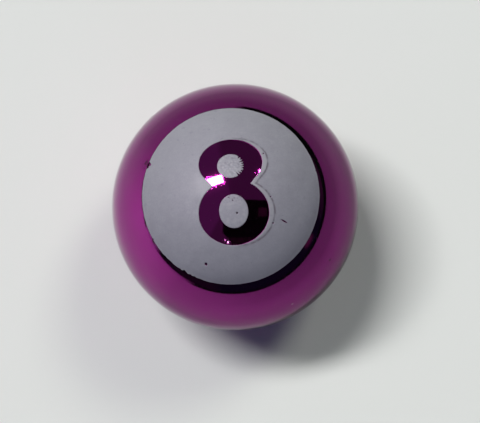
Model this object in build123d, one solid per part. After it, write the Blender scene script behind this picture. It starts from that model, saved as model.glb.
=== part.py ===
from build123d import *
import os

"""Ball-shaped valve cap with the number eight on its crown.

The ball stands on a short round collar. Z is up, the origin is the centre of the collar's end face,
and the numeral reads upright along +Y when the crown is seen from above. All sizes are millimetres.
"""

# ball and collar
ball_radius = 8.0
ball_centre_z = 7.7
collar_radius = 5.4
collar_edge_round = 0.25
collar_root_round = 0.35
mouth_chamfer = 0.15

# enamelled number on the crown
enamel_depth = 0.10
numeral_depth = 0.05
field_radius = 5.42
numeral_offset_x = 0.20
upper_bowl_y = 1.73
upper_bowl_half_width = 1.90
upper_bowl_half_height = 1.47
lower_bowl_y = -1.26
lower_bowl_half_width = 2.10
lower_bowl_half_height = 1.91
upper_counter_y = 1.53
upper_counter_half_width = 0.80
upper_counter_half_height = 0.74
lower_counter_y = -1.19
lower_counter_half_width = 0.87
lower_counter_half_height = 1.00
flank_top_y = 0.75
notch_y = 0.34
notch_half_width = 1.05

# brass insert, with the bore at the minor diameter of a 7.7 mm, 32 turns per inch valve thread
insert_radius = 4.6
insert_bottom_z = 0.5
insert_length = 6.5
thread_minor_radius = 3.45
mouth_lead_in = 0.45
inner_lead_in = 0.2
land_length = 0.9
knurl_depth = 0.2
knurl_teeth = 28
groove_length = 0.8
groove_depth = 0.35
knurl_length = 2.2

# rubber seal above the insert
seal_thickness = 1.0
seal_radius = 4.5
seal_hole_radius = 1.6

# hollow core above the seal, which keeps the moulded wall even
core_radius = 3.0
core_straight_length = 1.2

reach = 2 * ball_radius
insert_top_z = insert_bottom_z + insert_length
seat_z = insert_top_z + seal_thickness
flank_half_width = upper_bowl_half_width * (
    1 - ((flank_top_y - upper_bowl_y) / upper_bowl_half_height) ** 2
) ** 0.5


def upright_cylinder(radius, bottom_z, height):
    """A cylinder on the Z axis, standing on bottom_z."""
    return Pos(0, 0, bottom_z) * Cylinder(radius, height, align=(Align.CENTER, Align.CENTER, Align.MIN))


def ball(radius):
    """A full ball about the cap's own ball centre."""
    return Pos(0, 0, ball_centre_z) * Sphere(radius)


def crown_prism(outline):
    """Everything above the ball's centre inside an outline drawn on the XY plane."""
    return Pos(0, 0, ball_centre_z) * extrude(outline, amount=reach)


def numeral_place(y):
    """A place on the numeral's own centre line."""
    return Pos(numeral_offset_x, y)


def upper_counter_outline():
    return numeral_place(upper_counter_y) * Ellipse(upper_counter_half_width, upper_counter_half_height)


def lower_counter_outline():
    return numeral_place(lower_counter_y) * Ellipse(lower_counter_half_width, lower_counter_half_height)


def waist_outline():
    """The straight flanks that run from the upper bowl down to the notches of the eight."""
    return numeral_place(0) * Polygon(
        (-flank_half_width, flank_top_y),
        (-notch_half_width, notch_y),
        (notch_half_width, notch_y),
        (flank_half_width, flank_top_y),
        align=None,
    )


def numeral_outline():
    """The eight's outer edge, with both counters filled."""
    upper = numeral_place(upper_bowl_y) * Ellipse(upper_bowl_half_width, upper_bowl_half_height)
    lower = numeral_place(lower_bowl_y) * Ellipse(lower_bowl_half_width, lower_bowl_half_height)
    return upper + lower + waist_outline()


def enamel_layer():
    """The thin shell of space that the enamel fills, flush with the ball."""
    return ball(ball_radius) - ball(ball_radius - enamel_depth)


def make_outer_body():
    """Ball and collar as one blank, with the collar's root and end edges rounded."""
    blank = ball(ball_radius) + upright_cylinder(collar_radius, 0, ball_centre_z)
    blank = blank & upright_cylinder(reach, 0, reach)
    root = [e for e in blank.edges().filter_by(GeomType.CIRCLE) if 1 < e.center().Z < ball_centre_z - 1]
    blank = fillet(root, collar_root_round)
    end = [e for e in blank.edges().filter_by(GeomType.CIRCLE) if abs(e.center().Z) < 0.01]
    return fillet([max(end, key=lambda e: e.radius)], collar_edge_round)


def make_socket():
    """The insert's socket, its lead-in, and the domed core above the seal's seat."""
    socket = upright_cylinder(insert_radius, -1, seat_z + 1)
    lead_in = Pos(0, 0, mouth_chamfer / 2) * Cone(
        insert_radius + mouth_chamfer, insert_radius, mouth_chamfer
    )
    core = upright_cylinder(core_radius, seat_z - 0.5, core_straight_length + 0.5)
    dome = Pos(0, 0, seat_z + core_straight_length) * Sphere(core_radius)
    return socket + lead_in + core + dome


def make_ball_shell():
    """The plated moulding, with the enamel's recess and the sunk face of the eight."""
    counters = upper_counter_outline() + lower_counter_outline()
    numeral = crown_prism(numeral_outline() - counters)
    field = crown_prism(Circle(field_radius))
    above_enamel_floor = ball(reach) - ball(ball_radius - enamel_depth)
    above_numeral_face = ball(reach) - ball(ball_radius - numeral_depth)
    shell = make_outer_body() - make_socket()
    shell -= above_enamel_floor & (field - numeral)
    return shell - (above_numeral_face & numeral)


def make_number_field():
    return enamel_layer() & (crown_prism(Circle(field_radius)) - crown_prism(numeral_outline()))


def make_upper_counter():
    return enamel_layer() & crown_prism(upper_counter_outline())


def make_lower_counter():
    return enamel_layer() & crown_prism(lower_counter_outline())


def knurled_band(bottom_z, height):
    """A band of straight knurl, its teeth as V-shaped ridges."""
    corners = []
    for tooth in range(knurl_teeth):
        corners.append(Vector(insert_radius, 0).rotate(Axis.Z, 360 * tooth / knurl_teeth))
        corners.append(
            Vector(insert_radius - knurl_depth, 0).rotate(Axis.Z, 360 * (tooth + 0.5) / knurl_teeth)
        )
    return Pos(0, 0, bottom_z) * extrude(Polygon(*corners, align=None), amount=height)


def make_threaded_insert():
    """The knurled brass bushing that is pressed up into the socket."""
    land = upright_cylinder(insert_radius, insert_bottom_z, land_length)
    first_knurl = knurled_band(insert_bottom_z + land_length, knurl_length)
    groove_z = insert_bottom_z + land_length + knurl_length
    groove = upright_cylinder(insert_radius - groove_depth, groove_z, groove_length)
    second_z = groove_z + groove_length
    second_knurl = knurled_band(second_z, insert_top_z - second_z)
    bore = upright_cylinder(thread_minor_radius, -1, insert_top_z + 2)
    mouth = Pos(0, 0, insert_bottom_z + mouth_lead_in / 2) * Cone(
        thread_minor_radius + mouth_lead_in, thread_minor_radius, mouth_lead_in
    )
    inner = Pos(0, 0, insert_top_z - inner_lead_in / 2) * Cone(
        thread_minor_radius, thread_minor_radius + inner_lead_in, inner_lead_in
    )
    return land + first_knurl + groove + second_knurl - bore - mouth - inner


def make_seal_washer():
    """The rubber washer that the insert traps against its seat."""
    washer = upright_cylinder(seal_radius, insert_top_z, seal_thickness)
    return washer - upright_cylinder(seal_hole_radius, insert_top_z - 1, seal_thickness + 2)


pieces = {
    "ball_shell": make_ball_shell(),
    "number_field": make_number_field(),
    "upper_counter": make_upper_counter(),
    "lower_counter": make_lower_counter(),
    "threaded_insert": make_threaded_insert(),
    "seal_washer": make_seal_washer(),
}

os.makedirs("parts", exist_ok=True)
for name, piece in pieces.items():
    export_step(piece, f"parts/{name}.step")
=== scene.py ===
"""Looks for the ball-shaped valve cap with the numeral 8.

Lengths are in millimetres until a mesh or light is placed, when MM turns them into metres. The cap
stands on the origin, +Z goes to its crown, and the numeral reads upright along +Y.
"""

import math
import random

import bpy
import numpy as np
from mathutils import Matrix, Vector, noise
from mathutils.geometry import delaunay_2d_cdt
from mathutils.kdtree import KDTree


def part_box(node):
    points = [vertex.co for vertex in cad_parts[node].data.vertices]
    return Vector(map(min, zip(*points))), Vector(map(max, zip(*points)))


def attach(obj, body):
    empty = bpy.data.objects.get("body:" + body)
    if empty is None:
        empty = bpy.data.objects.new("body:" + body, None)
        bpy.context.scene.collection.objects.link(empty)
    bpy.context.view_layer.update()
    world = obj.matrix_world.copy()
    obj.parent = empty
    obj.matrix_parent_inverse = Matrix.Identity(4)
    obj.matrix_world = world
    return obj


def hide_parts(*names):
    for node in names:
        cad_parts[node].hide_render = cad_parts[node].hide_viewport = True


MM = 0.001
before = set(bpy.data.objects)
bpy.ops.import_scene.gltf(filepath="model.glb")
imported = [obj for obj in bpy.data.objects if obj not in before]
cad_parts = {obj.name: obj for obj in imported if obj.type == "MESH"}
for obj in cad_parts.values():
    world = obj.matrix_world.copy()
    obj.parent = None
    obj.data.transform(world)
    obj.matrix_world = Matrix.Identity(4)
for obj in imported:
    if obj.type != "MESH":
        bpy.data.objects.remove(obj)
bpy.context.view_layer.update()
rng = random.Random(8)


def box_mm(node):
    """A CAD node's lowest and highest corners in millimetres."""
    low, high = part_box(node)
    return low / MM, high / MM


# sizes read from the frame
shell_low, shell_high = box_mm("ball_shell")
field_low, field_high = box_mm("number_field")
insert_low, insert_high = box_mm("threaded_insert")
seal_low, seal_high = box_mm("seal_washer")
upper_low, upper_high = box_mm("upper_counter")
lower_low, lower_high = box_mm("lower_counter")

# ball and collar
BALL_RADIUS = shell_high.x
BALL_CENTRE_Z = 7.7
COLLAR_RADIUS = 5.4
COLLAR_ROOT_ROUND = 0.35
COLLAR_EDGE_ROUND = 0.25
MOUTH_CHAMFER = 0.15
CORE_RADIUS = 3.0
CORE_STRAIGHT = 1.2
FIELD_RADIUS = field_high.x
FILM = 0.05

# numeral, on its own upright centre line
NUMERAL_X = (upper_low.x + upper_high.x) / 2
UPPER_BOWL = (1.73, 1.90, 1.47)
LOWER_BOWL = (-1.26, 2.10, 1.91)
FLANK_TOP_Y = 0.75
NOTCH = (1.05, 0.34)

# valve thread and knurl
THREAD_MINOR = 3.45
THREAD_MAJOR = 3.88
THREAD_PITCH = 25.4 / 32
KNURL_TEETH = 28
KNURL_DEPTH = 0.2


# ---------------------------------------------------------------- meshes


def make_object(name, points, faces, body="root"):
    """A smooth-shaded mesh object from points in millimetres."""
    mesh = bpy.data.meshes.new(name)
    mesh.from_pydata([tuple(c * MM for c in p) for p in points], [], faces)
    mesh.validate()
    mesh.polygons.foreach_set("use_smooth", [True] * len(mesh.polygons))
    mesh.set_sharp_from_angle(angle=math.radians(40))
    mesh.update()
    piece = bpy.data.objects.new(name, mesh)
    bpy.context.scene.collection.objects.link(piece)
    return piece


def arc(centre_r, centre_z, radius, start, end, steps):
    """Profile points (r, z) along an arc; angles in degrees, anticlockwise from +r."""
    turn = (end - start) / steps
    return [
        (
            centre_r + radius * math.cos(math.radians(start + turn * i)),
            centre_z + radius * math.sin(math.radians(start + turn * i)),
        )
        for i in range(steps + 1)
    ]


def lathe(profile, segments, shape=None):
    """Turn a profile about Z. Ends on the axis become poles, other ends are joined into a ring.

    shape(r, z, angle) may give another radius, as a knurl or a thread does.
    """
    points = []
    rows = []
    for r, z in profile:
        if r < 1e-9:
            rows.append([len(points)])
            points.append((0.0, 0.0, z))
            continue
        first = len(points)
        for k in range(segments):
            angle = 2 * math.pi * k / segments
            radius = shape(r, z, angle) if shape else r
            points.append((radius * math.cos(angle), radius * math.sin(angle), z))
        rows.append(list(range(first, first + segments)))
    closed = len(rows[0]) > 1
    pairs = list(zip(rows, rows[1:] + rows[:1])) if closed else list(zip(rows, rows[1:]))
    faces = []
    for above, below in pairs:
        for k in range(segments):
            n = (k + 1) % segments
            if len(above) == 1:
                faces.append((above[0], below[k], below[n]))
            elif len(below) == 1:
                faces.append((above[k], below[0], above[n]))
            else:
                faces.append((above[k], below[k], below[n], above[n]))
    return points, faces


def shell_profile():
    """The moulding's whole section, from the crown's pole round the outside to the core's dome."""
    z0 = BALL_CENTRE_Z
    floor_radius = BALL_RADIUS - FILM
    rim = math.degrees(math.acos(FIELD_RADIUS / floor_radius))
    rim_top = math.degrees(math.acos(FIELD_RADIUS / BALL_RADIUS))
    profile = arc(0, z0, floor_radius, 90, rim, 84)
    profile[0] = (0.0, profile[0][1])
    profile += arc(0, z0, BALL_RADIUS, rim_top, 0, 90)
    return profile + lower_ball_and_collar(z0)


def lower_ball_and_collar(z0):
    """Below the equator: ball, collar root, collar, mouth, socket, seat and core."""
    root_r = COLLAR_RADIUS + COLLAR_ROOT_ROUND
    root_z = z0 - math.sqrt((BALL_RADIUS + COLLAR_ROOT_ROUND) ** 2 - root_r**2)
    touch = math.degrees(math.atan2(root_z - z0, root_r))
    profile = arc(0, z0, BALL_RADIUS, 0, touch, 70)[1:]
    profile += arc(root_r, root_z, COLLAR_ROOT_ROUND, 180 + touch, 180, 12)[1:]
    profile += [(COLLAR_RADIUS, z) for z in np.linspace(root_z - 0.1, COLLAR_EDGE_ROUND + 0.1, 5)]
    edge = COLLAR_RADIUS - COLLAR_EDGE_ROUND
    profile += arc(edge, COLLAR_EDGE_ROUND, COLLAR_EDGE_ROUND, 0, -90, 10)
    socket = insert_high.x
    profile += [(edge - 0.05, 0), (socket + MOUTH_CHAMFER + 0.05, 0)]
    profile += arc(socket + MOUTH_CHAMFER + 0.02, 0.04, 0.04, -90, -135, 3)
    profile += [(socket + 0.03, MOUTH_CHAMFER - 0.04), (socket, MOUTH_CHAMFER + 0.03)]
    profile += [(socket, z) for z in np.linspace(MOUTH_CHAMFER + 0.3, seal_high.z - 0.05, 10)]
    profile += [(socket - 0.05, seal_high.z), (CORE_RADIUS + 0.1, seal_high.z)]
    profile += [(CORE_RADIUS, z) for z in np.linspace(seal_high.z + 0.1, seal_high.z + CORE_STRAIGHT, 4)]
    dome = arc(0, seal_high.z + CORE_STRAIGHT, CORE_RADIUS, 0, 90, 24)[1:]
    dome[-1] = (0.0, dome[-1][1])
    return profile + dome


def make_shell():
    points, faces = lathe(shell_profile(), 304)
    return make_object("plated_ball", points, [tuple(reversed(f)) for f in faces])


# ---------------------------------------------------------------- numeral outlines


def ellipse_loop(cx, cy, a, b, spacing, start=0.0, end=360.0):
    """Points along an ellipse's arc, angles in degrees."""
    length = math.radians(abs(end - start)) * (a + b) / 2
    steps = max(8, int(length / spacing))
    angles = [math.radians(start + (end - start) * i / steps) for i in range(steps)]
    return [(cx + a * math.cos(t), cy + b * math.sin(t)) for t in angles]


def line_points(p, q, spacing):
    steps = max(1, int(math.dist(p, q) / spacing))
    return [
        (p[0] + (q[0] - p[0]) * i / steps, p[1] + (q[1] - p[1]) * i / steps) for i in range(steps)
    ]


def ellipse_angle(cy, a, b, x, y):
    return math.degrees(math.atan2((y - cy) / b, x / a))


def eight_outline(shift_x, shift_y, spacing):
    """The outer edge of the 8, anticlockwise: lower bowl, right flank, upper bowl, left flank."""
    upper_y, upper_a, upper_b = UPPER_BOWL
    lower_y, lower_a, lower_b = LOWER_BOWL
    cx = NUMERAL_X + shift_x
    flank_x = upper_a * math.sqrt(1 - ((FLANK_TOP_Y - upper_y) / upper_b) ** 2)
    notch_x = NOTCH[0] + 0.05
    notch_y = lower_y + lower_b * math.sqrt(1 - (notch_x / lower_a) ** 2)
    low_end = ellipse_angle(lower_y, lower_a, lower_b, notch_x, notch_y)
    top_start = ellipse_angle(upper_y, upper_a, upper_b, flank_x, FLANK_TOP_Y)
    right_notch = (cx + notch_x, notch_y + shift_y)
    left_notch = (cx - notch_x, notch_y + shift_y)
    right_flank = (cx + flank_x, FLANK_TOP_Y + shift_y)
    left_flank = (cx - flank_x, FLANK_TOP_Y + shift_y)
    loop = ellipse_loop(cx, lower_y + shift_y, lower_a, lower_b, spacing, -180 - low_end, low_end)
    loop += line_points(right_notch, right_flank, spacing)
    loop += ellipse_loop(
        cx, upper_y + shift_y, upper_a, upper_b, spacing, top_start, 180 - top_start
    )
    return loop + line_points(left_flank, left_notch, spacing)


def roughen(loop, amount, size):
    """Move a loop's points a little in and out, as a printed edge wavers."""
    out = []
    for x, y in loop:
        p = Vector((x / size, y / size, 0.5))
        out.append((x + amount * noise.noise(p), y + amount * noise.noise(p + Vector((9, 9, 9)))))
    return out


def upper_counter_loop(spacing):
    """The upper island's edge, torn into short rays on its right-hand side."""
    cx, cy = (upper_low.x + upper_high.x) / 2, (upper_low.y + upper_high.y) / 2
    a, b = (upper_high.x - upper_low.x) / 2, (upper_high.y - upper_low.y) / 2
    tears = [(-52 + 12.5 * i + rng.uniform(-2.5, 2.5), rng.uniform(0.08, 0.24)) for i in range(9)]
    loop = []
    steps = int(math.pi * (a + b) / spacing)
    for i in range(steps):
        t = 360 * i / steps
        cut = 0.0
        for where, depth in tears:
            off = abs((t - where + 180) % 360 - 180)
            cut = max(cut, depth * max(0.0, 1 - off / 4.0))
        scale = 1 - cut / a
        angle = math.radians(t)
        loop.append((cx + a * scale * math.cos(angle), cy + b * scale * math.sin(angle)))
    return loop


def lower_counter_loop(spacing):
    cx, cy = (lower_low.x + lower_high.x) / 2, (lower_low.y + lower_high.y) / 2
    a, b = (lower_high.x - lower_low.x) / 2, (lower_high.y - lower_low.y) / 2
    return ellipse_loop(cx, cy, a, b, spacing)


def field_loop(spacing):
    """The disc's rim, with a chip at its left and a ragged stretch at its lower left."""
    steps = int(2 * math.pi * FIELD_RADIUS / spacing)
    loop = []
    for i in range(steps):
        t = 2 * math.pi * i / steps
        degrees = math.degrees(t)
        dent = 0.0
        for where, width, depth in RIM_CHIPS:
            off = abs((degrees - where + 180) % 360 - 180)
            dent = max(dent, depth * max(0.0, 1 - (off / width) ** 2))
        ragged = max(0.0, 1 - ((degrees - 233) / 16) ** 2)
        p = Vector((math.cos(t) * 30, math.sin(t) * 30, 2))
        dent += 0.10 * ragged * max(0.0, noise.noise(p) + 0.25)
        dent += 0.012 * (1 + noise.noise(p * 0.6))
        r = FIELD_RADIUS - 0.004 - dent
        loop.append((r * math.cos(t), r * math.sin(t)))
    return loop


# where each rim chip is, its half width in degrees, and its depth
RIM_CHIPS = ((154.5, 1.7, 0.20), (156.5, 1.0, 0.12), (12.0, 0.5, 0.05), (205.0, 0.6, 0.05))

# pinholes through the enamel: x, y, radius
PINHOLES = ((-1.74, -4.10, 0.08), (2.21, 2.19, 0.03), (2.45, -0.46, 0.035), (2.47, -2.02, 0.04))
COUNTER_PINHOLES = ((0.39, -1.32, 0.05), (-0.02, -0.36, 0.022), (0.20, -0.56, 0.022))
GHOST_SHIFT = (0.31, 0.0)
GHOST_STEP = 0.03
EDGE_WIDTH = 0.04


# ---------------------------------------------------------------- enamel


def offset_ring(loop, distance):
    """A loop moved to its left, with the points that fold over left out."""
    tree = point_tree(loop)
    ring = []
    count = len(loop)
    for i in range(count):
        ax, ay = loop[i - 1]
        bx, by = loop[(i + 1) % count]
        length = math.dist((ax, ay), (bx, by)) or 1.0
        x = loop[i][0] - (by - ay) / length * distance
        y = loop[i][1] + (bx - ax) / length * distance
        if tree.find((x, y, 0))[2] >= 0.96 * abs(distance):
            ring.append((x, y))
    return ring


def point_tree(loop):
    tree = KDTree(len(loop))
    for i, (x, y) in enumerate(loop):
        tree.insert((x, y, 0), i)
    tree.balance()
    return tree


def inside(loop, xs, ys):
    """Which points lie inside a closed loop, by the even-odd rule."""
    result = np.zeros(len(xs), bool)
    for (ax, ay), (bx, by) in zip(loop, loop[1:] + loop[:1]):
        if ay == by:
            continue
        crosses = (ay > ys) != (by > ys)
        result ^= crosses & (xs < (bx - ax) * (ys - ay) / (by - ay) + ax)
    return result


def hex_grid(low, high, spacing):
    """Staggered points over a rectangle."""
    points = []
    row_height = spacing * math.sqrt(3) / 2
    rows = int((high[1] - low[1]) / row_height) + 1
    columns = int((high[0] - low[0]) / spacing) + 1
    for j in range(rows):
        for i in range(columns):
            points.append((low[0] + (i + 0.5 * (j % 2)) * spacing, low[1] + j * row_height))
    return np.array(points)


def film_region(outer, holes, rings, spacing, extra):
    """Triangulate the flat region inside outer and outside the holes.

    Returns points, triangles and each point's distances to the outer edge and to the nearest hole.
    outer runs anticlockwise and the holes clockwise, so that the region is on every loop's left.
    """
    loops = [outer] + holes
    points = []
    edges = []
    for loop in loops:
        first = len(points)
        points += loop
        edges += [(first + i, first + (i + 1) % len(loop)) for i in range(len(loop))]
    rim_tree = point_tree(outer)
    hole_tree = point_tree(sum(holes, [])) if holes else None

    def gaps(x, y):
        away = hole_tree.find((x, y, 0))[2] if holes else 9.0
        return rim_tree.find((x, y, 0))[2], away

    for loop in loops:
        for distance in rings:
            points += [p for p in offset_ring(loop, distance) if min(gaps(*p)) > 0.96 * distance]
    clear = rings[-1] + spacing * 0.5
    points += [p for p in extra if min(gaps(*p)) > clear]
    free = list(extra) or [(99.0, 99.0)]
    extra_tree = point_tree(free)
    grid = hex_grid(np.min(outer, axis=0), np.max(outer, axis=0), spacing)
    keep = inside(outer, grid[:, 0], grid[:, 1])
    for hole in holes:
        keep &= ~inside(hole, grid[:, 0], grid[:, 1])
    for p in grid[keep]:
        if min(gaps(*p)) > clear and extra_tree.find((*p, 0))[2] > spacing * 0.5:
            points.append(tuple(p))
    flat, _, triangles, *_ = delaunay_2d_cdt([Vector(p) for p in points], edges, [], 0, 1e-6)
    flat = np.array([tuple(p) for p in flat])
    triangles = np.array([tuple(t) for t in triangles])
    middle = flat[triangles].mean(axis=1)
    keep = inside(outer, middle[:, 0], middle[:, 1])
    for hole in holes:
        keep &= ~inside(hole, middle[:, 0], middle[:, 1])
    distances = np.array([gaps(x, y) for x, y in flat])
    return flat, triangles[keep], distances[:, 0], distances[:, 1]


def on_sphere(x, y, radius):
    return BALL_CENTRE_Z + math.sqrt(radius**2 - x**2 - y**2)


def smooth(t):
    t = np.clip(t, 0, 1)
    return t * t * (3 - 2 * t)


def drawn_down(gap, width):
    """How far an edge is drawn down to the metal: 1 at the edge, 0 from width inwards."""
    t = np.clip(gap / width, 0, 1)
    return 1 - np.sqrt(1 - (1 - t) ** 2)


def ripples(xs, ys, size, height):
    return np.array([height * noise.noise(Vector((x / size, y / size, 1.5))) for x, y in zip(xs, ys)])


def field_surface(xs, ys, rim_gap, hole_gap):
    """Height over the ball, cover, painted shade and painted light of the disc.

    The moulded figure's edge shows through the print to the right of the printed one, and the rim
    climbs the wall of its recess. The band inside that edge is painted pale, as if lit, and a
    patchy line just outside it is painted dark, as its shade.
    """
    loop = eight_outline(*GHOST_SHIFT, 0.04)
    tree = point_tree(loop)
    gap = np.array([tree.find((x, y, 0))[2] for x, y in zip(xs, ys)])
    signed = np.where(inside(loop, xs, ys), gap, -gap)
    down = drawn_down(hole_gap, EDGE_WIDTH)
    height = ripples(xs, ys, 0.45, 0.0012) + GHOST_STEP * smooth(signed / 0.08 + 0.5)
    height -= 0.014 * np.exp(-(((rim_gap - 0.10) / 0.07) ** 2))
    height = height * (1 - down) - (FILM - 0.008) * down
    patchy = np.clip(ripples(xs, ys, 0.22, 1.6) + 0.75, 0.15, 1)
    # painted shade of the moulded step: a dark line just outside the figure's edge, broken in patches like thin print
    grime_and_shade = np.exp(-((signed + 0.03) / 0.05) ** 2) * patchy * smooth(hole_gap / 0.12)
    # painted light: the band inside the moulded figure's edge is marked pale, as if lit
    pale = smooth((signed - 0.03) / 0.04)
    return height, np.minimum(1, hole_gap / EDGE_WIDTH), grime_and_shade, pale


def upper_surface(xs, ys, rim_gap, hole_gap):
    """The upper island is wrinkled all over."""
    down = drawn_down(rim_gap, EDGE_WIDTH)
    height = ripples(xs, ys * 2.0, 0.16, 0.016) + ripples(xs, ys, 0.09, 0.007) - 0.006
    height = height * (1 - down) - (FILM - 0.008) * down
    grime_and_shade = 0.5 * np.clip(ripples(xs, ys, 0.13, 2.2) - 0.45, 0, 1)
    pale = np.clip(ripples(xs + 3, ys * 1.6, 0.13, 2.0) + 0.25, 0, 1)
    return height, np.minimum(1, rim_gap / EDGE_WIDTH), grime_and_shade, pale


def lower_surface(xs, ys, rim_gap, hole_gap):
    down = drawn_down(np.minimum(rim_gap, hole_gap), EDGE_WIDTH)
    height = ripples(xs, ys, 0.2, 0.003) * (1 - down) - (FILM - 0.008) * down
    top = smooth((ys + 0.75) / 0.4)
    grime_and_shade = top * np.clip(ripples(xs, ys, 0.09, 3.4) - 0.6, 0, 1)
    pale = np.clip(ripples(xs + 3, ys, 0.2, 1.2), 0, 1)
    return height, np.minimum(1, np.minimum(rim_gap, hole_gap) / EDGE_WIDTH), grime_and_shade, pale


def make_film(name, outer, holes, rings, spacing, surface, extra=()):
    """A closed piece of enamel on the ball."""
    flat, triangles, rim_gap, hole_gap = film_region(outer, holes, rings, spacing, extra)
    height, cover, grime_and_shade, pale = surface(flat[:, 0], flat[:, 1], rim_gap, hole_gap)
    points = [(x, y, on_sphere(x, y, BALL_RADIUS - 0.007 + h)) for (x, y), h in zip(flat, height)]
    count = len(points)
    points += [(x, y, on_sphere(x, y, BALL_RADIUS - FILM)) for x, y in flat]
    faces = [tuple(int(i) for i in tri) for tri in triangles]
    sides = {}
    for a, b, c in faces:
        for edge in ((a, b), (b, c), (c, a)):
            sides[edge] = True
    walls = [(b, a, a + count, b + count) for a, b in sides if (b, a) not in sides]
    bottom = [(c + count, b + count, a + count) for a, b, c in faces]
    piece = make_object(name, points, faces + walls + bottom)
    for label, values in (("cover", cover), ("grime_and_shade", grime_and_shade), ("pale", pale)):
        attribute = piece.data.attributes.new(label, "FLOAT", "POINT")
        attribute.data.foreach_set("value", np.concatenate([values, values]).astype(np.float32))
    return piece


def clockwise(loop):
    return list(reversed(loop))


def circle_hole(x, y, radius):
    """A slightly uneven pinhole."""
    loop = [
        (
            x + radius * (1 + 0.15 * math.sin(3 * t + x)) * math.cos(t),
            y + radius * (1 + 0.15 * math.cos(2 * t + y)) * math.sin(t),
        )
        for t in (2 * math.pi * i / 18 for i in range(18))
    ]
    return clockwise(loop)


def scratch_hole(x0, y0, x1, y1, width):
    """A short pointed nick, dug through the enamel."""
    length = math.dist((x0, y0), (x1, y1))
    ux, uy = (x1 - x0) / length, (y1 - y0) / length
    loop = []
    for side in (1, -1):
        steps = range(0, 8)
        for i in steps:
            s = i / 8 if side == 1 else 1 - i / 8
            half = side * width / 2 * math.sin(math.pi * s) ** 0.7 if 0 < s < 1 else 0
            loop.append((x0 + ux * length * s - uy * half, y0 + uy * length * s + ux * half))
    return loop


def make_enamel():
    rings = (0.008, 0.018, 0.030, 0.050, 0.085)
    window = clockwise(roughen(eight_outline(0, 0, 0.03), 0.012, 0.25))
    holes = [window] + [circle_hole(*hole) for hole in PINHOLES]
    holes.append(scratch_hole(2.96, -1.83, 3.30, -2.04, 0.075))
    ghost = eight_outline(*GHOST_SHIFT, 0.035)
    beside = []
    for distance in (-0.10, -0.055, -0.02, 0.02, 0.055):
        beside += offset_ring(ghost, distance)
    field = make_film("enamel_field", field_loop(0.035), holes, rings, 0.068, field_surface, beside)
    upper = make_film("enamel_upper_counter", upper_counter_loop(0.018), [], rings, 0.04, upper_surface)
    pins = [circle_hole(*hole) for hole in COUNTER_PINHOLES]
    lower = make_film("enamel_lower_counter", lower_counter_loop(0.03), pins, rings, 0.045, lower_surface)
    return field, upper, lower


# ---------------------------------------------------------------- insert and seal


def insert_profile():
    """The insert's section: bore upwards, upper face, outside downwards, lower face."""
    bottom, top, outer = insert_low.z, insert_high.z, insert_high.x - 0.004
    bore = [(THREAD_MINOR, z) for z in np.linspace(bottom, top, 131)]
    upper_face = [(r, top) for r in np.linspace(THREAD_MAJOR + 0.08, outer - 0.12, 4)]
    side = [(outer - 0.02, top - 0.1)] + [(outer, z) for z in np.linspace(top - 0.2, bottom + 0.15, 28)]
    lower_face = arc(outer - 0.08, bottom + 0.08, 0.08, 0, -90, 5)
    lower_face += [(r, bottom) for r in np.linspace(outer - 0.15, THREAD_MINOR + 0.52, 4)]
    return bore + upper_face + side + lower_face


def thread_radius(z, angle):
    """Crest and root of the right-hand thread: 60 degree flanks, flat crest, rounded root."""
    turn = (z / THREAD_PITCH - angle / (2 * math.pi)) % 1.0
    rise = 1 - abs(2 * turn - 1)
    ramp = min(1.0, max(0.0, (rise - 0.14) / 0.72))
    return THREAD_MINOR + (THREAD_MAJOR - THREAD_MINOR) * (0.5 - 0.5 * math.cos(math.pi * ramp))


def insert_shape(r, z, angle):
    """Cut the thread into the bore and the knurl into the two bands outside."""
    bottom, top = insert_low.z, insert_high.z
    if r == THREAD_MINOR:
        mouth = THREAD_MINOR + 0.45 - (z - bottom)
        inner = THREAD_MINOR + 0.2 - (top - z)
        fade = min(1.0, max(0.0, (z - bottom) / 0.5))
        cut = THREAD_MINOR + (thread_radius(z, angle) - THREAD_MINOR) * fade
        return max(cut, mouth, inner)
    if r < insert_high.x - 0.01:
        return r
    if bottom + 0.9 < z < bottom + 3.1 or bottom + 3.9 < z:
        tooth = abs((angle * KNURL_TEETH / (2 * math.pi)) % 1.0 - 0.5) * 2
        return r - KNURL_DEPTH * (1 - tooth)
    if bottom + 3.1 <= z <= bottom + 3.9:
        return r - 0.35
    return r


def make_insert():
    points, faces = lathe(insert_profile(), 224, insert_shape)
    return make_object("brass_insert", points, [tuple(reversed(f)) for f in faces])


def make_seal():
    """The washer, with eased edges and the ring that a valve's rim has pressed into it."""
    bottom, top, outer = seal_low.z, seal_high.z, seal_high.x
    inner = 1.6
    ease = 0.08
    face = []
    for r in np.linspace(outer - ease, inner + ease, 40):
        dent = 0.07 * math.exp(-(((r - 2.95) / 0.22) ** 2))
        face.append((r, bottom + 0.002 + dent))
    profile = arc(outer - ease, top - ease, ease, 90, 0, 4)
    profile += arc(outer - ease, bottom + ease, ease, 0, -80, 4)
    profile += face
    profile += arc(inner + ease, bottom + ease, ease, -100, -180, 4)
    profile += arc(inner + ease, top - ease, ease, 180, 90, 4)
    points, faces = lathe(profile, 160)
    return make_object("rubber_seal", points, [tuple(reversed(f)) for f in faces])


# ---------------------------------------------------------------- materials


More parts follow.
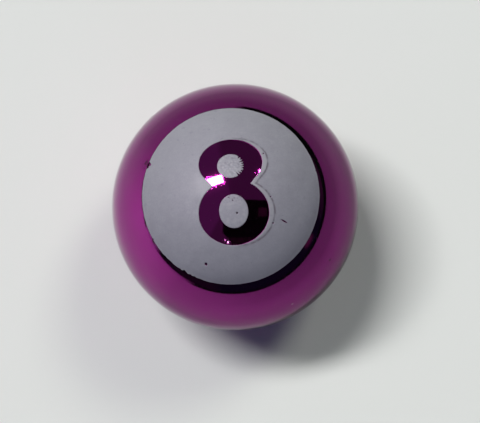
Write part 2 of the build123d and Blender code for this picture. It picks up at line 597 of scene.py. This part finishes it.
class Nodes:
    """Short calls for one material's node tree."""

    def __init__(self, name):
        self.material = bpy.data.materials.new(name)
        self.material.use_nodes = True
        self.tree = self.material.node_tree
        self.shader = self.tree.nodes["Principled BSDF"]

    def put(self, value, socket):
        if isinstance(value, bpy.types.NodeSocket):
            self.tree.links.new(value, socket)
        else:
            socket.default_value = value

    def add(self, kind, inputs=None, **settings):
        node = self.tree.nodes.new(kind)
        for key, value in settings.items():
            setattr(node, key, value)
        for key, value in (inputs or {}).items():
            self.put(value, node.inputs[key])
        return node

    def place(self, stretch=(1, 1, 1)):
        """Position on the part in millimetres, with an optional stretch."""
        where = self.add("ShaderNodeTexCoord").outputs["Object"]
        scale = tuple(s / MM for s in stretch)
        return self.add("ShaderNodeMapping", {"Vector": where, "Scale": scale}).outputs["Vector"]

    def noise(self, scale, detail=2.0, roughness=0.5, where=None):
        inputs = {"Vector": where or self.place(), "Scale": scale, "Detail": detail, "Roughness": roughness}
        return self.add("ShaderNodeTexNoise", inputs).outputs["Fac"]

    def math(self, operation, a, b=0.0, clamp=False):
        return self.add("ShaderNodeMath", {0: a, 1: b}, operation=operation, use_clamp=clamp).outputs[0]

    def spread(self, value, low, high, to_low, to_high):
        inputs = {"Value": value, "From Min": low, "From Max": high, "To Min": to_low, "To Max": to_high}
        return self.add("ShaderNodeMapRange", inputs).outputs["Result"]

    def mix(self, factor, a, b):
        node = self.add("ShaderNodeMix", data_type="RGBA")
        for value, index in ((factor, 0), (a, 6), (b, 7)):
            if isinstance(value, tuple):
                value = (*value, 1.0)
            self.put(value, node.inputs[index])
        return node.outputs[2]

    def towards(self, azimuth):
        """How far a point on the part lies from its axis, and how far it lies towards an azimuth."""
        parts = self.add("ShaderNodeSeparateXYZ", {"Vector": self.place()})
        x, y = parts.outputs["X"], parts.outputs["Y"]
        radius = self.math("SQRT", self.math("ADD", self.math("MULTIPLY", x, x), self.math("MULTIPLY", y, y)))
        ahead = self.add("ShaderNodeVectorMath", {0: self.place(), 1: direction(azimuth, 0)}, operation="DOT_PRODUCT")
        return radius, ahead.outputs["Value"]

    def bump(self, height, distance_mm, normal=None):
        inputs = {"Height": height, "Distance": distance_mm * MM, "Strength": 1.0}
        if normal:
            inputs["Normal"] = normal
        return self.add("ShaderNodeBump", inputs).outputs["Normal"]

    def specks(self, density, size, share):
        """1 in small round spots: density is cells per millimetre, share is how many cells have one."""
        cell = self.add("ShaderNodeTexVoronoi", {"Vector": self.place(), "Scale": density})
        near = self.math("LESS_THAN", cell.outputs["Distance"], size * density)
        shade = self.add("ShaderNodeSeparateColor", {"Color": cell.outputs["Color"]}).outputs["Red"]
        return self.math("MULTIPLY", near, self.math("LESS_THAN", shade, share))

    def pimples(self, density, size, share):
        """Smooth round bumps: size is their radius as a share of a cell."""
        cell = self.add("ShaderNodeTexVoronoi", {"Vector": self.place(), "Scale": density})
        height = self.spread(cell.outputs["Distance"], 0.0, size, 1, 0)
        shade = self.add("ShaderNodeSeparateColor", {"Color": cell.outputs["Color"]}).outputs["Red"]
        return self.math("MULTIPLY", height, self.math("LESS_THAN", shade, share))

    def near(self, point, full, none):
        """1 within full millimetres of a point, falling to 0 at none."""
        away = self.add("ShaderNodeVectorMath", {0: self.place(), 1: point}, operation="DISTANCE")
        return self.spread(away.outputs["Value"], full, none, 1, 0)

    def finish(self, **sockets):
        for key, value in sockets.items():
            if isinstance(value, tuple) and len(value) == 3:
                value = (*value, 1.0)
            self.put(value, self.shader.inputs[key.replace("_", " ")])
        return self.material


def plated_purple():
    """Mirror plating under a purple tinted lacquer, with a few specks, a thin ragged dark ring by the disc's rim, and
    a painted greyish sheen on its outer part towards +Y.
    """
    n = Nodes("plated_purple")
    cloud = n.noise(0.35, 3)
    tint = n.mix(n.spread(cloud, 0.3, 0.7, 0, 1), (0.40, 0.019, 0.295), (0.45, 0.0245, 0.34))
    # painted sheen: towards +Y the outer part of the ball is tinted greyer, as if lit there
    radius, ahead = n.towards(75)
    side = n.spread(n.math("DIVIDE", ahead, radius), -0.3, 0.6, 0, 1)
    tint = n.mix(n.math("MULTIPLY", n.spread(radius, 5.8, 6.8, 0, 1), side), tint, (0.43, 0.08, 0.335))
    # darker in patches along a thin ragged ring by the disc's rim
    rim_darkening = n.math("MULTIPLY", rim_dark_ring(n), n.spread(n.noise(2.2, 2), 0.42, 0.6, 0, 0.9))
    tint = n.mix(rim_darkening, tint, (0.05, 0.003, 0.03))
    chip = n.math("MULTIPLY", n.near((-5.05, 2.38, 13.46), 0.18, 0.42), n.spread(n.noise(5, 2), 0.4, 0.6, 0, 0.85))
    tint = n.mix(chip, tint, (0.06, 0.005, 0.035))
    tint = n.mix(n.near((5.76, -4.20, 11.33), 0.05, 0.12), tint, (0.10, 0.008, 0.07))
    tint = n.mix(n.near((3.23, -6.71, 10.63), 0.03, 0.10), tint, (0.75, 0.55, 0.72))
    fine = n.noise(14, 4, 0.6)
    rough = n.spread(fine, 0.3, 0.8, 0.035, 0.06)
    wave = n.bump(n.noise(0.8, 1), 0.0009)
    grain = n.bump(n.noise(9, 3, 0.7), 0.0005, wave)
    pimples = n.bump(n.pimples(12.0, 0.3, 0.3), 0.0009, grain)
    nibs = n.bump(n.specks(0.8, 0.035, 0.10), 0.004, pimples)
    return n.finish(
        Base_Color=tint, Metallic=1.0, Roughness=rough, Normal=nibs,
        Specular_Tint=(0.6, 0.45, 0.57), Coat_Weight=0.8, Coat_Roughness=0.03, Coat_IOR=1.35,
        Sheen_Weight=0.008, Sheen_Roughness=0.6,
    )


def rim_dark_ring(n):
    """A thin ragged dark ring just outside the enamel on its left and lower left."""
    parts = n.add("ShaderNodeSeparateXYZ", {"Vector": n.place()})
    x, y = parts.outputs["X"], parts.outputs["Y"]
    radius = n.math("SQRT", n.math("ADD", n.math("MULTIPLY", x, x), n.math("MULTIPLY", y, y)))
    crown = n.math("MULTIPLY", n.math("GREATER_THAN", parts.outputs["Z"], 12.0), n.math("GREATER_THAN", radius, 5.2))
    ragged = n.math("ADD", radius, n.spread(n.noise(3, 2), 0.3, 0.7, -0.05, 0.05))
    ring = n.math("MULTIPLY", n.spread(ragged, FIELD_RADIUS + 0.03, FIELD_RADIUS + 0.09, 1, 0), crown)
    along = n.math("DIVIDE", n.math("ADD", n.math("MULTIPLY", x, 0.85), n.math("MULTIPLY", y, 0.53)), radius)
    return n.math("MULTIPLY", ring, n.spread(along, -0.9, -0.55, 1, 0))


def white_enamel():
    """Printed off-white enamel: pitted, mottled, and tinged purple where its edge thins out. Painted light brightens
    its top, and painted shade darkens its bottom, its lower right rim and a line along the moulded figure's edge.
    """
    n = Nodes("white_enamel")
    cloud = n.noise(0.5, 4, 0.6)
    base = n.mix(n.spread(cloud, 0.3, 0.7, 0, 1), (0.258, 0.260, 0.294), (0.284, 0.286, 0.324))
    mottle = n.noise(1.7, 4, 0.65)
    base = n.mix(n.spread(mottle, 0.3, 0.7, 0.55, 0), base, (0.19, 0.188, 0.22))
    grain = n.noise(9, 3, 0.7)
    base = n.mix(n.spread(grain, 0.35, 0.75, 0, 0.55), base, (0.19, 0.188, 0.22))
    # pale: on the disc a painted lit band inside the moulded figure's edge; on the counters, random pale mottling
    pale = n.add("ShaderNodeAttribute", attribute_name="pale").outputs["Fac"]
    base = n.mix(n.math("MULTIPLY", pale, 0.45), base, (0.34, 0.336, 0.36))
    # painted shade and light: darker and bluer towards the bottom (-Y), lighter towards the top (+Y)
    parts = n.add("ShaderNodeSeparateXYZ", {"Vector": n.place()})
    painted_shading_axis = n.math("SUBTRACT", parts.outputs["Y"], n.math("MULTIPLY", parts.outputs["X"], 0.27))
    base = n.mix(n.spread(painted_shading_axis, -5.4, 0.0, 0.52, 0), base, (0.17, 0.17, 0.215))
    base = n.mix(n.spread(painted_shading_axis, 0.0, 5.4, 0, 0.35), base, (0.37, 0.375, 0.40))
    # painted shade: darker near the disc's lower right rim
    radius, ahead = n.towards(301)
    painted_rim_shade = n.math("MULTIPLY", n.spread(radius, 4.5, 5.4, 0, 1), n.spread(ahead, 1.5, 4.0, 0, 0.36))
    base = n.mix(painted_rim_shade, base, (0.05, 0.05, 0.07))
    dirt = n.math("MAXIMUM", n.specks(1.1, 0.035, 0.12), n.specks(2.3, 0.022, 0.10))
    base = n.mix(n.math("MULTIPLY", dirt, 0.6), base, (0.09, 0.07, 0.10))
    smudge = n.spread(n.noise(2.6, 2, 0.5), 0.66, 0.74, 0, 0.3)
    base = n.mix(smudge, base, (0.16, 0.15, 0.19))
    # darker along the moulded figure's step on the disc (painted shade, broken in patches like thin print); on the
    # counters, random grime patches
    grime_and_shade = n.add("ShaderNodeAttribute", attribute_name="grime_and_shade").outputs["Fac"]
    base = n.mix(n.math("MULTIPLY", grime_and_shade, 0.8), base, (0.09, 0.07, 0.09))
    cover = n.add("ShaderNodeAttribute", attribute_name="cover").outputs["Fac"]
    thin = n.spread(cover, 0.0, 0.45, 1, 0)
    base = n.mix(n.math("MULTIPLY", thin, 0.25), base, (0.33, 0.14, 0.27))
    rough = n.spread(n.noise(1.4, 3), 0.3, 0.7, 0.66, 0.74)
    peel = n.bump(n.noise(1.6, 2), 0.005)
    pits = n.bump(grain, 0.0018, peel)
    return n.finish(
        Base_Color=base, Roughness=rough, Normal=pits, IOR=1.6, Specular_IOR_Level=0.85,
        Specular_Tint=(0.82, 0.76, 1.0), Coat_Weight=0.09, Coat_Roughness=0.32, Coat_IOR=1.5,
    )


def turned_brass():
    """Brass with turning marks that run round the axis, and a darker bloom."""
    n = Nodes("turned_brass")
    parts = n.add("ShaderNodeSeparateXYZ", {"Vector": n.place()})
    x, y, z = (parts.outputs[k] for k in ("X", "Y", "Z"))
    radius = n.math("SQRT", n.math("ADD", n.math("MULTIPLY", x, x), n.math("MULTIPLY", y, y)))
    around = n.add("ShaderNodeCombineXYZ", {"X": radius, "Y": z, "Z": 0.0}).outputs["Vector"]
    marks = n.noise(16, 3, 0.7, around)
    bloom = n.noise(0.9, 4, 0.6)
    base = n.mix(n.spread(bloom, 0.35, 0.7, 0, 1), (0.80, 0.58, 0.25), (0.55, 0.36, 0.14))
    base = n.mix(n.spread(marks, 0.4, 0.8, 0, 0.3), base, (0.86, 0.68, 0.36))
    rough = n.spread(bloom, 0.3, 0.7, 0.18, 0.36)
    normal = n.bump(marks, 0.004)
    return n.finish(Base_Color=base, Metallic=1.0, Roughness=rough, Normal=normal)


def black_rubber():
    """Matt rubber with a pale dusty bloom."""
    n = Nodes("black_rubber")
    cloud = n.noise(0.9, 4, 0.6)
    grain = n.noise(12, 3, 0.7)
    base = n.mix(n.spread(cloud, 0.4, 0.75, 0, 1), (0.018, 0.018, 0.02), (0.05, 0.048, 0.046))
    rough = n.spread(grain, 0.3, 0.7, 0.62, 0.8)
    return n.finish(Base_Color=base, Roughness=rough, Normal=n.bump(grain, 0.006))


def pale_table():
    n = Nodes("pale_table")
    cloud = n.noise(0.02, 3)
    base = n.mix(n.spread(cloud, 0.3, 0.7, 0, 1), (0.79, 0.805, 0.785), (0.80, 0.815, 0.795))
    grain = n.bump(n.noise(3, 2), 0.004)
    return n.finish(Base_Color=base, Roughness=0.9, Normal=grain, Specular_IOR_Level=0.0)


def black_card():
    n = Nodes("black_card")
    base = n.mix(n.noise(0.2, 1), (0.002, 0.002, 0.002), (0.004, 0.004, 0.004))
    return n.finish(Base_Color=base, Roughness=0.9, Specular_IOR_Level=0.0)


def shaded_hand():
    n = Nodes("shaded_hand")
    base = n.mix(n.noise(0.2, 1), (0.018, 0.013, 0.014), (0.022, 0.015, 0.016))
    return n.finish(Base_Color=base, Roughness=0.9, Specular_IOR_Level=0.0)


def dim_card():
    n = Nodes("dim_card")
    base = n.mix(n.noise(0.2, 1), (0.033, 0.018, 0.023), (0.036, 0.021, 0.025))
    return n.finish(Base_Color=base, Roughness=0.9, Specular_IOR_Level=0.0)


def surround_shade():
    """Clear near the ball and on its left, and darker further out on the other sides."""
    n = Nodes("surround_shade")
    where = n.add("ShaderNodeTexCoord").outputs["Object"]
    parts = n.add("ShaderNodeSeparateXYZ", {"Vector": where})
    x, y = parts.outputs["X"], parts.outputs["Y"]
    radius = n.math("SQRT", n.math("ADD", n.math("MULTIPLY", x, x), n.math("MULTIPLY", y, y)))
    along = n.add("ShaderNodeVectorMath", {0: where}, operation="NORMALIZE").outputs["Vector"]
    towards = n.add("ShaderNodeVectorMath", {0: along, 1: direction(200, 0)}, operation="DOT_PRODUCT")
    open_side = n.math("POWER", n.spread(towards.outputs["Value"], -1, 1, 0, 1), 2.0)
    left = n.add("ShaderNodeVectorMath", {0: along, 1: direction(182, 0)}, operation="DOT_PRODUCT")
    clear = n.math("ADD", n.math("MULTIPLY", open_side, 0.17), n.spread(left.outputs["Value"], 0.7, 1, 0, 0.27))
    shade = n.math("SUBTRACT", 0.62, clear)
    upper = n.add("ShaderNodeVectorMath", {0: along, 1: direction(120, 0)}, operation="DOT_PRODUCT")
    ramp = n.math("MULTIPLY", radius, n.spread(upper.outputs["Value"], -1, 1, 1.35, 0.65))
    near = n.math("MULTIPLY", shade, n.spread(ramp, 0.006, 0.017, 0, 1))
    beyond = n.math("MULTIPLY", n.math("SUBTRACT", 1.0, open_side), n.spread(radius, 0.026, 0.045, 0, 0.12))
    back = n.add("ShaderNodeVectorMath", {0: along, 1: direction(100, 0)}, operation="DOT_PRODUCT")
    stretch = n.math("MAXIMUM", n.spread(back.outputs["Value"], -1, 1, 0.3, 2.6), 0.9)
    reach = n.math("MULTIPLY", radius, stretch)
    right = n.add("ShaderNodeVectorMath", {0: along, 1: direction(-20, 0)}, operation="DOT_PRODUCT")
    far = n.math("MULTIPLY", n.spread(reach, 0.11, 0.24, 0, 1), n.spread(right.outputs["Value"], -0.5, -0.2, 0, 1))
    n.put(n.math("MAXIMUM", n.math("ADD", near, beyond), far), n.shader.inputs["Alpha"])
    return n.finish(Base_Color=(0.0, 0.0, 0.0), Roughness=0.9, Specular_IOR_Level=0.0)


# ---------------------------------------------------------------- studio

# The camera stands nearly over the crown. Its distance is in ball radii.
CAMERA_DISTANCE = 11.0
CAMERA_AZIMUTH = -72.14
CAMERA_ELEVATION = 82.75
LENS = 101.3
SENSOR = 36.0
FRAME_WIDTH = 480
BALL_OFF_CENTRE = (-4.8, 4.5)


def direction(azimuth, elevation):
    """A unit vector; azimuth is anticlockwise from +X, seen from above."""
    a, e = math.radians(azimuth), math.radians(elevation)
    return Vector((math.cos(a) * math.cos(e), math.sin(a) * math.cos(e), math.sin(e)))


def ball_centre():
    return Vector((0, 0, BALL_CENTRE_Z * MM))


def axes_matrix(x, y, z, origin):
    m = Matrix((x, y, z)).transposed().to_4x4()
    m.translation = origin
    return m


def camera_axes():
    """The camera's right, up and backward directions, before it is turned off the ball's centre."""
    back = direction(CAMERA_AZIMUTH, CAMERA_ELEVATION)
    right = Vector((0.9962, -0.0728, 0)) + Vector((0, 0, -0.0477))
    right = (right - back * right.dot(back)).normalized()
    return right, back.cross(right), back


def make_camera():
    right, up, back = camera_axes()
    data = bpy.data.cameras.new("camera")
    data.lens = LENS
    data.sensor_width = SENSOR
    data.clip_start = 0.005
    camera = bpy.data.objects.new("camera", data)
    bpy.context.scene.collection.objects.link(camera)
    place = ball_centre() + back * CAMERA_DISTANCE * BALL_RADIUS * MM
    focal = LENS / SENSOR * FRAME_WIDTH
    aim = (-back - right * (BALL_OFF_CENTRE[0] / focal) - up * (BALL_OFF_CENTRE[1] / focal)).normalized()
    side = aim.cross(up).normalized()
    camera.matrix_world = axes_matrix(side, side.cross(aim), -aim, place)
    bpy.context.scene.camera = camera


def make_lamp(name, azimuth, elevation, distance, size, watts, long_axis=(1, 0, 0), colour=(1, 1, 1)):
    """A rectangular lamp that faces the ball."""
    data = bpy.data.lights.new(name, "AREA")
    data.shape = "RECTANGLE"
    data.size, data.size_y = size
    data.energy = watts
    data.color = colour
    lamp = bpy.data.objects.new(name, data)
    bpy.context.scene.collection.objects.link(lamp)
    back = direction(azimuth, elevation)
    along = Vector(long_axis)
    along = (along - back * along.dot(back)).normalized()
    lamp.matrix_world = axes_matrix(along, back.cross(along), back, ball_centre() + back * distance)
    lamp.visible_camera = False
    return lamp


def make_lamps():
    """A ceiling panel and a window light the scene; their mirrored images are lamps of their own."""
    size = (0.667, 0.187)
    panel = make_lamp("ceiling_panel", 139.8, 64.0, 1.5, size, 17.3, PANEL_AXIS, (1.0, 0.997, 0.986))
    panel.visible_glossy = False
    mirrored = make_lamp("mirrored_panel", 139.8, 64.0, 1.48, size, 32.0, PANEL_AXIS, (1.0, 0.96, 0.9))
    mirrored.visible_diffuse = False
    window = make_lamp("window", 45.0, 52.0, 0.9, (0.22, 0.22), 1.87, colour=(0.95, 1.0, 0.83))
    window.visible_glossy = False
    fill = make_lamp("front_fill", -85.0, 16.0, 0.9, (0.3, 0.2), 0.4, colour=(0.65, 0.85, 1.0))
    fill.visible_glossy = False
    for name, azimuth, elevation, size, watts, colour in GLINTS:
        glint = make_lamp(name, azimuth, elevation, 0.9, size, watts, colour=colour)
        glint.visible_diffuse = False


PANEL_AXIS = (0.925, 0.276, 0.26)

# small bulbs that show only as glints: azimuth, elevation, size and power
GLINTS = (
    ("right_bulb", 41.5, 54.0, (0.03, 0.05), 0.5, (1.0, 1.0, 1.0)),
    ("near_bulb", -100.6, 51.1, (0.014, 0.02), 0.055, (0.27, 1.0, 0.3)),
    ("near_bulb_twin", -105.1, 52.7, (0.006, 0.028), 0.009, (0.35, 1.0, 0.37)),
)


def make_world():
    """A dim room: pale to the left, black near the horizon elsewhere. The camera sees a backdrop."""
    world = bpy.data.worlds.new("room")
    bpy.context.scene.world = world
    world.use_nodes = True
    n = Nodes.__new__(Nodes)
    n.tree = world.node_tree
    n.tree.nodes.clear()
    where = n.add("ShaderNodeTexCoord").outputs["Generated"]
    parts = n.add("ShaderNodeSeparateXYZ", {"Vector": where})
    flat = n.add("ShaderNodeCombineXYZ", {"X": parts.outputs["X"], "Y": parts.outputs["Y"]})
    along = n.add("ShaderNodeVectorMath", {0: flat.outputs["Vector"]}, operation="NORMALIZE")
    towards = n.add(
        "ShaderNodeVectorMath", {0: along.outputs["Vector"], 1: direction(166, 0)}, operation="DOT_PRODUCT"
    )
    left = n.spread(towards.outputs["Value"], 0.36, 0.46, 0, 1)
    height = parts.outputs["Z"]
    away = n.add(
        "ShaderNodeVectorMath", {0: along.outputs["Vector"], 1: direction(45, 0)}, operation="DOT_PRODUCT"
    )
    low = n.mix(n.spread(away.outputs["Value"], 0.5, 0.8, 0, 1), (0.004, 0.001, 0.012), (0.034, 0.025, 0.034))
    dark = n.mix(n.spread(height, 0.3, 0.62, 0, 1), low, (0.062, 0.062, 0.066))
    pale = n.mix(n.spread(height, 0.1, 0.6, 0, 1), (0.46, 0.45, 0.50), (0.095, 0.09, 0.108))
    mirrored = n.mix(left, dark, pale)
    low_glow = n.add(
        "ShaderNodeVectorMath", {0: along.outputs["Vector"], 1: direction(-30, 0)}, operation="DOT_PRODUCT"
    )
    glow = n.math(
        "MULTIPLY", n.spread(low_glow.outputs["Value"], 0.994, 0.9995, 0, 0.75), n.spread(height, 0.03, 0.09, 0, 1)
    )
    mirrored = n.mix(glow, mirrored, (0.12, 0.06, 0.085))
    near_left = n.add(
        "ShaderNodeVectorMath", {0: along.outputs["Vector"], 1: direction(228, 0)}, operation="DOT_PRODUCT"
    )
    low_band = n.math(
        "MULTIPLY", n.spread(near_left.outputs["Value"], 0.875, 0.94, 0, 1), n.spread(height, 0.12, 0.22, 1, 0)
    )
    mirrored = n.mix(low_band, mirrored, (0.012, 0.003, 0.014))
    glossy = n.add("ShaderNodeLightPath").outputs["Is Glossy Ray"]
    scattered = n.mix(left, (0.034, 0.038, 0.070), (0.046, 0.037, 0.085))
    colour = n.mix(glossy, scattered, mirrored)
    room = n.add("ShaderNodeBackground", {"Color": colour})
    backdrop = n.add("ShaderNodeBackground", {"Color": (0.66, 0.66, 0.67, 1)})
    seen = n.add("ShaderNodeLightPath").outputs["Is Camera Ray"]
    mix = n.add("ShaderNodeMixShader", {0: seen, 1: room.outputs[0], 2: backdrop.outputs[0]})
    n.add("ShaderNodeOutputWorld", {"Surface": mix.outputs["Shader"]})


def make_card(name, corners, material):
    """A flat stage card from its corners in metres."""
    mesh = bpy.data.meshes.new(name)
    mesh.from_pydata([tuple(c) for c in corners], [], [tuple(range(len(corners)))])
    mesh.materials.append(material)
    card = bpy.data.objects.new(name, mesh)
    bpy.context.scene.collection.objects.link(card)
    return card


def reflection_only(card):
    """Show a card only in mirrors."""
    card.visible_camera = False
    card.visible_diffuse = False
    card.visible_shadow = False
    card.visible_transmission = False


def make_stage():
    half = 1.2
    corners = [Vector((x, y, 0)) for x, y in ((-half, -half), (half, -half), (half, half), (-half, half))]
    make_card("table", corners, pale_table())
    right, up, back = camera_axes()
    lens = ball_centre() + back * (CAMERA_DISTANCE * BALL_RADIUS + 1) * MM
    edges = ((-14, 10), (62, 10), (62, -45), (-12, -45), (-18, -37))
    handset = [lens + right * x * MM + up * y * MM for x, y in edges]
    reflection_only(make_card("camera_body", handset, black_card()))
    edges = ((-12, -44), (62, -44), (62, -70), (-2, -66))
    hand = [lens + right * x * MM + up * y * MM + back * MM for x, y in edges]
    reflection_only(make_card("hand", hand, shaded_hand()))
    edges = ((32, -0.7), (46.4, -0.8), (46.6, -13.6), (32, -13.2))
    window = [lens + right * x * MM + up * y * MM - back * MM for x, y in edges]
    reflection_only(make_card("camera_window", window, dim_card()))
    surround = [v + Vector((0, 0, 0.0003)) for v in corners]
    reflection_only(make_card("surround", surround, surround_shade()))


# ---------------------------------------------------------------- assembly


def dress(piece, material, node):
    """Give a piece its material, slot and body, and hide the CAD node it stands for."""
    piece.data.materials.append(material)
    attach(piece, "root")
    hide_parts(node)


def make_cap():
    dress(make_shell(), plated_purple(), "ball_shell")
    enamel = white_enamel()
    nodes = ("number_field", "upper_counter", "lower_counter")
    for piece, node in zip(make_enamel(), nodes):
        dress(piece, enamel, node)
    dress(make_insert(), turned_brass(), "threaded_insert")
    dress(make_seal(), black_rubber(), "seal_washer")


make_cap()
make_camera()
make_lamps()
make_world()
make_stage()
bpy.context.scene.view_settings.view_transform = "Standard"
